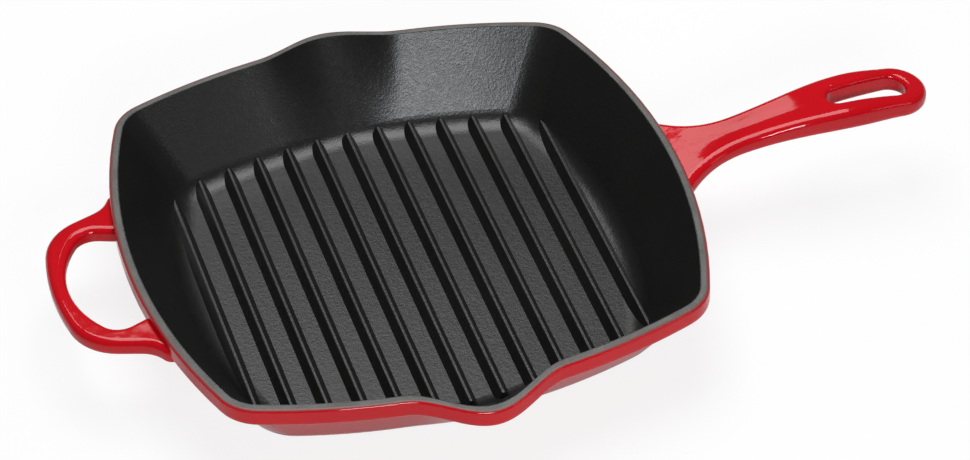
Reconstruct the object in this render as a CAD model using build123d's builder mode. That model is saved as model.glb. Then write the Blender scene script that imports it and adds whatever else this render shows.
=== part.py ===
from build123d import *
import math
import os

os.makedirs("parts", exist_ok=True)

# A square cast iron grill pan, enamelled inside and out. The origin is in the middle of the base, on
# the surface the pan stands on: +X runs along the long handle, +Y towards the back spout, +Z up.

# Pan, measured on the finished enamel
rim_half = 130.0            # outer edge of the grey rim, at the middle of a side
side_radius = 284.0         # bow of the sides at that edge
rim_corner_radius = 21.5    # corners at that edge
rim_width = 2.9             # grey band on top of the rim
rim_round = 1.5             # round from the rim into the outside of the lip
rim_height = 44.0
floor_height = 5.0          # inside floor above the base, between the ribs
wall_thickness = 4.2
wall_angle = 33.9           # walls, from upright
floor_round = 13.0          # inside round from the floor into the walls
base_round = 18.0           # outside round from the base into the walls
floor_corner_radius = 20.0  # corners of the inside, where walls and floor would meet

# Lip, the thick band round the top
lip_height = 9.5
lip_lower_round = 3.0
lip_lap = 6.0               # the wall runs up inside the lip to this far below the rim

# Pour spouts, in the middle of the two Y sides
spout_reach = 12.3          # how far the lip bulges out
spout_half = 37.8           # half the width of the bulge
spout_depth = 16.0          # how far the inside bulges out, at the height of the rim
spout_dip = 3.6             # how far the rim drops

# Ribs
rib_count = 13
rib_pitch = 15.35
rib_height = 5.0
rib_crest = 1.7             # width of the crest
rib_slope = 29.0            # sides of a rib, from upright
rib_crest_round = 0.9
rib_end_inset = 5.2         # the crests end this far inside the line where wall and floor would meet
rib_end_rise = 6.0          # the crests end this far above that line on the wall

# Long handle, distances from the outside of the lip
handle_length = 126.0
handle_root_half = 25.8     # half width where it leaves the lip
handle_root_slope = 45.0    # flare of the root, in plan
handle_waist = 32.0         # distance of the waist
handle_waist_half = 11.3
handle_wide = 91.0          # distance of the widest and highest place
handle_wide_half = 15.8
handle_end_radius = 14.8
handle_root_top = 39.5      # heights of the top and of the underside above the base
handle_root_under = 30.0
handle_wide_top = 53.1
handle_wide_under = 42.0
handle_end_top = 48.8
handle_end_under = 40.8
handle_root_top_slope = 7.7
handle_root_under_slope = 12.3
handle_end_top_slope = -10.0
handle_round = 3.7

# Slot for hanging the pan up, in the long handle
slot_start = 77.0
slot_end = 116.0
slot_narrow_radius = 5.4
slot_wide_radius = 7.5
slot_round = 2.4

# Loop handle opposite, distances from the outside of the lip
loop_reach = 34.8
loop_front_radius = 100.0   # bow of the outside of the grip
loop_shoulder = 28.0        # distance of the shoulders
loop_shoulder_half = 40.6
loop_branch_half = 50.0     # half width over the branches, at the lip
loop_foot_half = 58.5       # half width over the feet, inside the lip
loop_shoulder_radius = 26.0
loop_foot_radius = 14.0
loop_heel_radius = 6.0
loop_gap_reach = 27.0       # the gap for the fingers
loop_gap_front_radius = 52.0
loop_gap_half = 36.5
loop_gap_mouth_half = 30.0
loop_gap_corner_radius = 9.5
loop_top = 39.7
loop_under = 31.2
loop_round = 3.4

# Enamel
coat = 0.4                  # thickness of each coat
rim_margin = 0.3            # the bare band stops this far short of the round of the lip
root_depth = 5.0            # how far the handles run into the lip, being one casting with it
clear = 2.0                 # how far a cutting shape passes the surface it cuts
level_limit = 0.01          # an upright face has a smaller rise of its normal than this
upright_limit = 0.7         # an edge steeper than this counts as upright

wall_run = math.tan(math.radians(wall_angle))
wall_secant = 1 / math.cos(math.radians(wall_angle))
rib_run = math.tan(math.radians(rib_slope))
rib_secant = 1 / math.cos(math.radians(rib_slope))
cavity_rim_half = rim_half - rim_width
floor_line_half = cavity_rim_half - (rim_height - floor_height) * wall_run
cavity_corner_radius = rim_corner_radius - rim_width
lip_half = rim_half + rim_round
rib_top = floor_height + rib_height
lip_lap_height = rim_height - lip_lap


def hump(across):
    """Height of the spout's rounded bulge, from 0 to 1, this far from its middle."""
    if abs(across) >= spout_half:
        return 0.0
    return (1 + math.cos(math.pi * across / spout_half)) / 2


def slope_direction(degrees):
    """Unit direction at this angle above the horizontal."""
    return (math.cos(math.radians(degrees)), math.sin(math.radians(degrees)))


def pan_outline(half, corner, reach):
    """Square with bowed sides and round corners, with a spout of this reach in each Y side."""
    bow = side_radius + half - rim_half
    middle = half - bow
    corner_middle = (middle + math.sqrt(2 * (bow - corner) ** 2 - middle ** 2)) / 2
    stretch = bow / (bow - corner)
    near = corner_middle * stretch
    far = middle + (corner_middle - middle) * stretch
    tip = corner_middle + corner / math.sqrt(2)
    steps = 24
    across = [near * (2 * i / steps - 1) for i in range(steps + 1)]
    side = [(x, middle + math.sqrt(bow ** 2 - x ** 2) + reach * hump(x)) for x in across]
    tangent = (far - middle, near)
    with BuildSketch() as outline:
        with BuildLine():
            for sign in (1, -1):
                ThreePointArc((sign * far, -near), (sign * half, 0), (sign * far, near))
                Spline(*[(x, sign * y) for x, y in side],
                       tangents=[(tangent[0], sign * tangent[1]), (tangent[0], -sign * tangent[1])])
                for end in (1, -1):
                    ThreePointArc((sign * far, end * near), (sign * tip, end * tip), (sign * near, end * far))
        make_face()
    return outline.sketch


def wall_outline(height, out):
    """Outline of the inside of the walls at this height, moved out square to the wall by this much."""
    rise = (height - floor_height) / (rim_height - floor_height)
    half = floor_line_half + (height - floor_height) * wall_run + out * wall_secant
    corner = floor_corner_radius + rise * (cavity_corner_radius - floor_corner_radius) + out
    return pan_outline(half, corner, max(0.0, rise) * spout_depth)


def walled_form(bottom, top, out, bottom_round):
    """Solid inside the walls between two heights, moved out by this much, with a round lower edge."""
    with BuildPart() as form:
        for height in (bottom, top):
            with BuildSketch(Plane.XY.offset(height)):
                add(wall_outline(height, out))
        loft(ruled=True)
        fillet(form.faces().sort_by(Axis.Z)[0].edges(), bottom_round)
    return form.part


def ribs_form(inset):
    """All the ribs, made smaller by this much on every side, with their feet below the floor."""
    crest = rib_crest - 2 * inset * (rib_secant - rib_run)
    with BuildPart() as form:
        for i in range(rib_count):
            x = (i - (rib_count - 1) / 2) * rib_pitch
            line_half = floor_line_half - rib_end_inset + rib_end_rise
            bow = side_radius + line_half - rim_half
            reach = line_half - bow + math.sqrt(bow ** 2 - x ** 2)
            with BuildSketch(Plane.XY.offset(rib_top - inset)):
                with Locations((x, 0)):
                    SlotOverall(2 * reach - rib_crest + crest, crest, rotation=90)
            extrude(amount=-(rib_height + clear), taper=-rib_slope)
        top = form.faces().filter_by(Axis.Z).group_by(Axis.Z)[-1]
        fillet([e for f in top for e in f.edges()], rib_crest_round)
    return form.part


def inside_form(grow):
    """The hollow of the pan with its ribs, grown by this much into the metal."""
    with BuildPart() as form:
        add(walled_form(floor_height - grow, rim_height + clear, grow, floor_round + grow))
        add(ribs_form(grow), mode=Mode.SUBTRACT)
    return form.part


def lip_band(half, corner, bottom, top):
    """Solid slab inside an outline between two heights, both of which drop at the spouts."""
    beyond, steps = 2 * rim_half, 12
    across = [spout_half * (2 * i / steps - 1) for i in range(steps + 1)]
    with BuildPart() as form:
        with BuildSketch():
            add(pan_outline(half, corner, spout_reach))
        extrude(amount=2 * rim_height)
        with BuildSketch(Plane.XZ):
            with BuildLine():
                for height in (bottom, top):
                    Line((-beyond, height), (-spout_half, height))
                    Spline(*[(x, height - spout_dip * hump(x)) for x in across], tangents=[(1, 0), (1, 0)])
                    Line((spout_half, height), (beyond, height))
                for end in (-beyond, beyond):
                    Line((end, bottom), (end, top))
            make_face()
        extrude(amount=beyond, both=True, mode=Mode.INTERSECT)
    return form.part


def edges_round(form, upper, middle_height):
    """The edges round the upright sides of a form, either those above a height or those below it."""
    sides = [face for face in form.faces() if abs(face.normal_at().Z) < level_limit]
    lying = [edge for face in sides for edge in face.edges() if abs(edge.tangent_at(0.5).Z) < upright_limit]
    return [edge for edge in lying if (edge.center().Z > middle_height) == upper]


def lip_form(inset):
    """The thick lip, made smaller by this much, still solid across the pan."""
    bottom, top = rim_height - lip_height + inset, rim_height - inset
    with BuildPart() as form:
        add(lip_band(lip_half - inset, rim_corner_radius + rim_round - inset, bottom, top))
        fillet(edges_round(form, True, (bottom + top) / 2), rim_round - inset)
        fillet(edges_round(form, False, (bottom + top) / 2), lip_lower_round - inset)
    return form.part


def handle_form(inset):
    """The long handle with its slot, made smaller by this much on every side."""
    root = lip_half - root_depth
    tip = lip_half + handle_length - inset
    wide, waist = lip_half + handle_wide, lip_half + handle_waist
    flare = slope_direction(-handle_root_slope)
    with BuildPart() as form:
        with BuildSketch():
            with BuildLine():
                for side in (1, -1):
                    Line((root, 0), (root, side * (handle_root_half - inset + root_depth)))
                    Line((root, side * (handle_root_half - inset + root_depth)),
                         (lip_half, side * (handle_root_half - inset)))
                    Spline((lip_half, side * (handle_root_half - inset)),
                           (waist, side * (handle_waist_half - inset)),
                           (wide, side * (handle_wide_half - inset)),
                           (tip - handle_end_radius + inset, side * (handle_end_radius - inset)),
                           tangents=[(flare[0], side * flare[1]), (1, 0), (1, 0), (1, 0)])
                ThreePointArc((tip - handle_end_radius + inset, handle_end_radius - inset), (tip, 0),
                              (tip - handle_end_radius + inset, inset - handle_end_radius))
            make_face()
        extrude(amount=2 * rim_height)
        with BuildSketch(Plane.XZ):
            with BuildLine():
                end = lip_half + handle_length + clear
                Spline((root, handle_root_top - inset), (wide, handle_wide_top - inset),
                       (end, handle_end_top - inset),
                       tangents=[slope_direction(handle_root_top_slope), (1, 0),
                                 slope_direction(handle_end_top_slope)])
                Spline((root, handle_root_under + inset), (wide, handle_wide_under + inset),
                       (end, handle_end_under + inset),
                       tangents=[slope_direction(handle_root_under_slope), (1, 0), (1, 0)])
                Line((root, handle_root_under + inset), (root, handle_root_top - inset))
                Line((end, handle_end_under + inset), (end, handle_end_top - inset))
            make_face()
        extrude(amount=handle_root_half + root_depth, both=True, mode=Mode.INTERSECT)
        around = edges_round(form, True, 0)
        fillet([edge for edge in around if edge.center().X > root + coat], handle_round - inset)
        with BuildSketch():
            with Locations((lip_half + slot_start + slot_narrow_radius, 0)):
                Circle(slot_narrow_radius + inset)
            with Locations((lip_half + slot_end - slot_wide_radius, 0)):
                Circle(slot_wide_radius + inset)
            make_hull()
        extrude(amount=2 * rim_height, mode=Mode.SUBTRACT)
        start, end = lip_half + slot_start, lip_half + slot_end
        lips = [edge for edge in edges_round(form, True, 0) if start - clear < edge.center().X < end + clear
                and abs(edge.center().Y) < slot_wide_radius + clear]
        fillet(lips, slot_round + inset)
    return form.part


def loop_form(inset):
    """The loop handle, made smaller by this much on every side."""
    heel, foot, shoulder = 2 * root_depth - lip_half, root_depth - lip_half, -lip_half - loop_shoulder
    front, gap = inset - lip_half - loop_reach, -inset - lip_half - loop_gap_reach
    gap_bow = loop_gap_front_radius - math.sqrt(loop_gap_front_radius ** 2 - loop_gap_half ** 2)
    with BuildPart() as form:
        with BuildSketch(Plane.XY.offset(loop_under + inset)):
            with BuildLine():
                Polyline((heel, loop_foot_half - inset), (foot, loop_foot_half - inset),
                         (-lip_half, loop_branch_half - inset), (shoulder, loop_shoulder_half - inset))
                ThreePointArc((shoulder, loop_shoulder_half - inset), (front, 0),
                              (shoulder, inset - loop_shoulder_half))
                Polyline((shoulder, inset - loop_shoulder_half), (-lip_half, inset - loop_branch_half),
                         (foot, inset - loop_foot_half), (heel, inset - loop_foot_half),
                         (heel, loop_foot_half - inset))
            make_face()
        extrude(amount=loop_top - loop_under - 2 * inset)
        upright = form.edges().filter_by(Axis.Z)
        fillet([e for e in upright if abs(e.center().X - shoulder) < coat], loop_shoulder_radius)
        upright = form.edges().filter_by(Axis.Z)
        fillet([e for e in upright if abs(e.center().X + lip_half) < coat], loop_foot_radius)
        upright = form.edges().filter_by(Axis.Z)
        fillet([e for e in upright if abs(e.center().X - foot) < coat], loop_heel_radius)
        with BuildSketch():
            with BuildLine():
                ThreePointArc((gap + gap_bow, loop_gap_half + inset), (gap, 0),
                              (gap + gap_bow, -loop_gap_half - inset))
                Polyline((gap + gap_bow, -loop_gap_half - inset), (foot, -loop_gap_mouth_half - inset),
                         (heel + clear, -loop_gap_mouth_half - inset),
                         (heel + clear, loop_gap_mouth_half + inset),
                         (foot, loop_gap_mouth_half + inset), (gap + gap_bow, loop_gap_half + inset))
            face = make_face()
            fillet([v for v in face.vertices() if v.X < gap + gap_bow + coat], loop_gap_corner_radius)
        extrude(amount=2 * rim_height, mode=Mode.SUBTRACT)
        flats = form.faces().filter_by(Axis.Z)
        fillet([e for f in flats for e in f.edges() if e.center().X < heel - coat], loop_round - inset)
    return form.part


def outside_form(inset):
    """The pan and its handles from outside, made smaller by this much, still solid inside."""
    bowl = walled_form(inset, lip_lap_height, wall_thickness - inset, base_round - inset)
    with BuildPart() as form:
        add(bowl)
        add(lip_form(inset))
        add(handle_form(inset))
        add(loop_form(inset))
    return form.part


enamelled_outside = outside_form(0.0)
bare_outside = outside_form(coat)
enamelled_hollow = inside_form(0.0)
bare_hollow = inside_form(coat)
walls = walled_form(floor_height - coat, rim_height + clear, coat, floor_round + coat)
rim_top = lip_band(rim_half - rim_margin, rim_corner_radius - rim_margin,
                   rim_height - clear, rim_height + clear)

# The casting: bowl, ribs, lip, spouts and both handles are one piece of iron
with BuildPart() as iron_casting:
    add(bare_outside)
    add(bare_hollow, mode=Mode.SUBTRACT)

# Black satin enamel, over the floor, the ribs and the inside of the walls
with BuildPart() as inside_enamel:
    add(bare_hollow)
    add(enamelled_hollow, mode=Mode.SUBTRACT)
    add(enamelled_outside, mode=Mode.INTERSECT)

# Red gloss enamel, over the outside, the base and both handles
with BuildPart() as outside_enamel:
    add(enamelled_outside)
    add(walls, mode=Mode.SUBTRACT)
    add(rim_top, mode=Mode.SUBTRACT)
    add(bare_outside, mode=Mode.SUBTRACT)

# Grey ground coat, left bare along the top of the rim
with BuildPart() as rim_coat:
    add(rim_top)
    add(enamelled_outside, mode=Mode.INTERSECT)
    add(bare_outside, mode=Mode.SUBTRACT)
    add(walls, mode=Mode.SUBTRACT)

for name, piece in (("iron_casting", iron_casting), ("inside_enamel", inside_enamel),
                    ("outside_enamel", outside_enamel), ("rim_coat", rim_coat)):
    piece.part.label = name
    export_step(piece.part, f"parts/{name}.step")
    print(name, round(piece.part.volume), piece.part.is_valid, len(piece.part.solids()))
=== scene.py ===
import math

import bpy
from mathutils import Matrix, Vector

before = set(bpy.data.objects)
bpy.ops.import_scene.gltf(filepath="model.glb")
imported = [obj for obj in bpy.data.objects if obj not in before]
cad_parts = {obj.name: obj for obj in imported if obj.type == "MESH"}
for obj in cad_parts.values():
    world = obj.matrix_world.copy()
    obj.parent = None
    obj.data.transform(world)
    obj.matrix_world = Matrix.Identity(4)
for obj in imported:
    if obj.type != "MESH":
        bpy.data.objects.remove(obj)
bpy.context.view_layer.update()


# Iron casting: the whole pan with its ribs, lip, spouts and both handles, cast in one piece.
# It is cast iron, blasted rough so that the enamel keys to it, and none of it shows.
class Paint:
    """A value in a material. Sums, products and quotients of these add the nodes that they need."""

    def __init__(self, tree, socket=None):
        self.tree = tree
        self.socket = socket

    def node(self, kind, inputs=None, output=0, **settings):
        """Any other node, with these settings and inputs. Gives one of its outputs."""
        made = self.tree.nodes.new(kind)
        for key, value in settings.items():
            setattr(made, key, value)
        for key, value in (inputs or {}).items():
            if isinstance(value, Paint):
                self.tree.links.new(value.socket, made.inputs[key])
            else:
                made.inputs[key].default_value = value
        return Paint(self.tree, made.outputs[output])

    def math(self, operation, other=0.0, reverse=False):
        """This value and another, or the other and this one, through one operation."""
        pair = (other, self) if reverse else (self, other)
        return self.node("ShaderNodeMath", dict(enumerate(pair)), operation=operation)

    def __add__(self, other):
        return self.math("ADD", other)

    def __mul__(self, other):
        return self.math("MULTIPLY", other)

    def __truediv__(self, other):
        return self.math("DIVIDE", other)

    def __rsub__(self, other):
        return self.math("SUBTRACT", other, reverse=True)

    __radd__ = __add__
    __rmul__ = __mul__

    def steps(self, low, high):
        """0 below low, 1 above high and smooth between."""
        return self.node("ShaderNodeMapRange", {"Value": self, "From Min": low, "From Max": high},
                         interpolation_type="SMOOTHSTEP")

    def blend(self, low, high):
        """The colour low where this is 0, high where it is 1."""
        return self.node("ShaderNodeMix", {"Factor": self, "A": low, "B": high}, output="Result",
                         data_type="RGBA")


def new_material(name):
    """An empty material, with its tree wrapped for the sections below."""
    material = bpy.data.materials.new(name)
    material.use_nodes = True
    material.node_tree.nodes.clear()
    return material, Paint(material.node_tree)


def place(paint):
    """Where the shaded point is on the pan, in metres."""
    return paint.node("ShaderNodeTexCoord", output="Object")


def noise(paint, where, size, detail=2.0, rough=0.5):
    """Even noise from 0 to 1 with spots of about this size in metres."""
    return paint.node("ShaderNodeTexNoise", {"Vector": where, "Scale": 1 / size, "Detail": detail,
                                            "Roughness": rough}, output="Fac")


def finish_with(paint, shader, kind="ShaderNodeOutputMaterial"):
    """Makes this shader what the material, or the world, shows."""
    end = paint.tree.nodes.new(kind)
    paint.tree.links.new(shader.socket, end.inputs["Surface"])


def principled(paint, **inputs):
    """A principled surface with these inputs, and _ for a space in their names."""
    named = {key.replace("_", " "): value for key, value in inputs.items()}
    return paint.node("ShaderNodeBsdfPrincipled", named, output="BSDF")


def relief(paint, height):
    """Shades the surface as if raised by this height in metres."""
    return paint.node("ShaderNodeBump", {"Height": height, "Distance": 1.0}, output="Normal")


def dress(node, material):
    """Gives an object this one material."""
    node.data.materials.clear()
    node.data.materials.append(material)


material, paint = new_material("rough_iron")
where = place(paint)
grain = noise(paint, where, 0.0012, 4.0)
dark_iron, light_iron = (0.07, 0.068, 0.065, 1), (0.15, 0.145, 0.14, 1)
finish_with(paint, principled(paint, Base_Color=grain.blend(dark_iron, light_iron), Metallic=0.8,
                              Roughness=0.55 + 0.2 * grain, Normal=relief(paint, 0.0002 * grain)))
dress(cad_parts["iron_casting"], material)


# Inside enamel: black satin enamel over the floor, the ribs and the inside of the walls.
# It is sprayed on and fired, which leaves a fine pebbled grain that breaks up its sheen.
material, paint = new_material("black_satin_enamel")
where = place(paint)
grain = noise(paint, where, 0.0011, 3.0, 0.6)
pebble = noise(paint, where, 0.0028, 2.0)
cloud = noise(paint, where, 0.045, 3.0)
deep_black, pale_black = (0.005, 0.0047, 0.0043, 1), (0.014, 0.0135, 0.013, 1)
colour = (0.6 * cloud + 0.4 * grain.steps(0.5, 0.8)).blend(deep_black, pale_black)
finish_with(paint, principled(paint, Base_Color=colour, Roughness=0.24 + 0.06 * cloud + 0.10 * pebble,
                              Normal=relief(paint, 0.00018 * (0.65 * grain + 0.35 * pebble))))
dress(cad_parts["inside_enamel"], material)


# Outside enamel: clear bright red gloss enamel over the lip, walls, underside and handles.
# It flows in the kiln, so it is glassy with a faint orange peel, and is worn to a dull brown beside the
# wiped rim. The top of the long handle is slightly dished along its middle.
material, paint = new_material("red_gloss_enamel")
where = place(paint)
along, across, upright = [paint.node("ShaderNodeSeparateXYZ", {"Vector": where}, output=axis)
                          for axis in "XYZ"]
flow = noise(paint, where, 0.011, 2.0)
fine = noise(paint, where, 0.0016, 2.0)
tone = noise(paint, where, 0.06, 2.0)

# The dish: how far across the handle a point is, from 0 in its middle to 1 at its edge
root, waist, widest = 0.1315, 0.1635, 0.2225
root_half, waist_half, widest_half = 0.0258, 0.0113, 0.0158
half_width = (root_half - (root_half - waist_half) * along.steps(root, waist)
              + (widest_half - waist_half) * along.steps(waist, widest))
from_middle = across.math("ABSOLUTE") / half_width
dish_depth, dish_starts, dish_ends = 0.0004, (0.136, 0.150), (0.192, 0.206)
dish = from_middle.steps(0.1, 0.85) * along.steps(*dish_starts) * (1 - along.steps(*dish_ends))

# The worn edge: the top of the round of the lip, which drops at the spouts
spout_half, spout_dip, past_the_lip = 0.0378, 0.0036, (0.140, 0.142)
across_spout = along.math("ABSOLUTE").math("MINIMUM", spout_half) * (math.pi / spout_half)
drop = spout_dip / 2 + spout_dip / 2 * across_spout.math("COSINE")
worn = (upright + drop + 0.0004 * flow).steps(0.0437, 0.0440) * (1 - along.steps(*past_the_lip))

deep_red, bright_red, worn_brown = (0.49, 0.003, 0.008, 1), (0.55, 0.0045, 0.011, 1), (0.10, 0.085, 0.075, 1)
colour = (0.85 * worn).blend(tone.steps(0.3, 0.7).blend(deep_red, bright_red), worn_brown)
height = 0.00009 * flow + 0.000003 * fine + dish_depth * dish
finish_with(paint, principled(paint, Base_Color=colour, Roughness=0.04 + 0.04 * fine + 0.3 * worn,
                              Normal=relief(paint, height), Specular_IOR_Level=0.34))
dress(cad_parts["outside_enamel"], material)


# Rim coat: the grey ground coat, left bare where the two colours are wiped off the rim.
# It is matte and slightly rough, with small darker specks.
material, paint = new_material("grey_ground_coat")
where = place(paint)
grain = noise(paint, where, 0.0009, 4.0, 0.6)
patch = noise(paint, where, 0.012, 3.0)
dark_grey, light_grey = (0.075, 0.077, 0.072, 1), (0.130, 0.132, 0.124, 1)
colour = (0.5 * grain + 0.5 * patch).steps(0.35, 0.65).blend(dark_grey, light_grey)
finish_with(paint, principled(paint, Base_Color=colour, Roughness=0.5 + 0.15 * grain,
                              Normal=relief(paint, 0.0002 * grain)))
dress(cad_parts["rim_coat"], material)


# Studio, which is not part of the pan: a plain pale floor, soft lights and the camera.
# The floor is a wide white sheet, a hair below the base so that the two faces don't flicker.
# The lights are soft boxes over, behind, in front of and beside the pan.
material, paint = new_material("pale_floor")
speck = noise(paint, place(paint), 0.02, 2.0)
sheet = principled(paint, Base_Color=speck.blend((0.73, 0.73, 0.73, 1), (0.75, 0.75, 0.75, 1)),
                   Roughness=1.0, Specular_IOR_Level=0.0)
white = (1, 1, 1, 1)
glow = paint.node("ShaderNodeEmission", {"Color": white, "Strength": 1.04}, output="Emission")
by_camera, by_gloss, through_glass = [paint.node("ShaderNodeLightPath", output=name) for name in
                                      ("Is Camera Ray", "Is Glossy Ray", "Is Transmission Ray")]
glow_share = 0.8 * by_camera + 0.2 * (by_gloss + through_glass)
finish_with(paint, paint.node("ShaderNodeMixShader", {0: glow_share, 1: sheet, 2: glow}, output="Shader"))
floor_size, floor_gap = 14, 0.0002
bpy.ops.mesh.primitive_plane_add(size=floor_size, location=(0, 0, -floor_gap))
floor = bpy.context.object
floor.name = "floor"
dress(floor, material)

world = bpy.data.worlds.new("studio")
bpy.context.scene.world = world
world.use_nodes = True
world.node_tree.nodes.clear()
paint = Paint(world.node_tree)
sky = paint.node("ShaderNodeBackground", {"Color": white, "Strength": 0.08}, output="Background")
finish_with(paint, sky, "ShaderNodeOutputWorld")


def soft_box(name, at, towards, wide, high, watts, tint=(1, 1, 1)):
    """A rectangular soft light at one point, facing another."""
    lamp = bpy.data.lights.new(name, "AREA")
    lamp.shape = "RECTANGLE"
    lamp.size, lamp.size_y, lamp.energy, lamp.color = wide, high, watts, tint
    box = bpy.data.objects.new(name, lamp)
    bpy.context.scene.collection.objects.link(box)
    box.location = at
    box.rotation_euler = (Vector(towards) - Vector(at)).to_track_quat("-Z", "Y").to_euler()


soft_box("over_light", (0.08, 0.34, 1.18), (0.05, 0.1, 0), 0.8, 0.95, 13.6)
soft_box("back_light", (0.0, 2.1, 2.3), (0.15, 0, 0), 1.1, 0.5, 6.0)
soft_box("front_light", (-0.10, -1.4, 0.74), (0, 0.1, 0), 0.52, 0.26, 12.5, (0.93, 0.96, 1.0))
soft_box("side_light", (1.05, -1.12, 0.58), (0, 0.1, 0), 0.5, 0.3, 0.8)

# The camera: its direction round and above the pan, its roll, and the shifts that centre the picture
around, above, roll = math.radians(-16.16), math.radians(40.05), math.radians(-2.04)
distance, shift_right, shift_up, aim_height = 1.77268, 0.03653, 0.01434, 0.010
back = Vector((math.sin(around) * math.cos(above), -math.cos(around) * math.cos(above), math.sin(above)))
level = Vector((math.cos(around), math.sin(around), 0))
rise = back.cross(level)
right = math.cos(roll) * level + math.sin(roll) * rise
upward = math.cos(roll) * rise - math.sin(roll) * level
middle = distance * back + shift_right * right + shift_up * upward + Vector((0, 0, aim_height))
lens = bpy.data.cameras.new("camera")
lens.sensor_width, lens.lens, lens.clip_end = 36.0, 141.28, 50
camera = bpy.data.objects.new("camera", lens)
bpy.context.scene.collection.objects.link(camera)
camera.matrix_world = Matrix.Translation(middle) @ Matrix((right, upward, back)).transposed().to_4x4()
bpy.context.scene.camera = camera
bpy.context.scene.view_settings.view_transform = "Standard"
